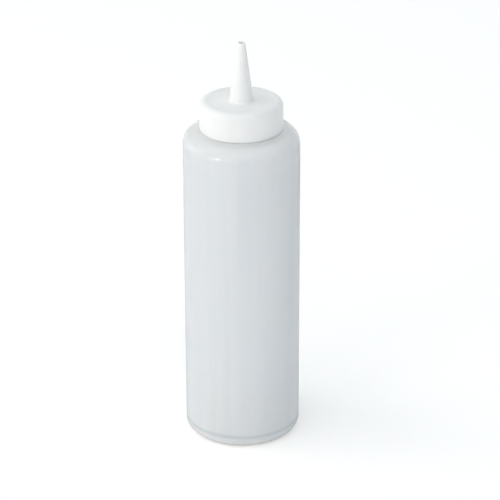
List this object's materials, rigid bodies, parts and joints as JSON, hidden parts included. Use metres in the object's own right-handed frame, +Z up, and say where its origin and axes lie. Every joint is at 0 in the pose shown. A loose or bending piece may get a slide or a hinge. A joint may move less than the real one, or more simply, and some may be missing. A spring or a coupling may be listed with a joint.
{
  "type": "squeeze sauce bottle",
  "caption": "Tall round squeeze bottle for sauce, in milky plastic, with a white screw cap that carries an open cone spout.",
  "frame": {"origin": "centre of the base, on the surface the bottle stands on", "axes": "+Z up along the bottle's axis, through the spout; the mould's parting plane holds X and Z"},
  "size_m": [0.0572, 0.0572, 0.2048],
  "materials": {
    "bottle_plastic": "natural milky polyethylene, satin",
    "cap_plastic": "white polyethylene, satin",
    "washer_foam": "closed-cell polyethylene foam, matt"
  },
  "bodies": {
    "bottle": {"bottle": "bottle_plastic"},
    "washer": {"sealing_washer": "washer_foam"},
    "cap": {"spout_cap": "cap_plastic"}
  },
  "joints": [
    {"name": "cap_rise", "type": "slide", "parent": "bottle", "child": "washer", "axis": [0, 0, 1], "range_m": [0, 0.01481]},
    {"name": "cap_turn", "type": "hinge", "parent": "washer", "child": "cap", "pos_m": [0, 0, 0.1742], "axis": [0, 0, 1], "range_deg": [0, 1260]}
  ],
  "couplings": [
    {"joint": "cap_turn", "follows": "cap_rise", "rad_per_m": 1484.2}
  ]
}
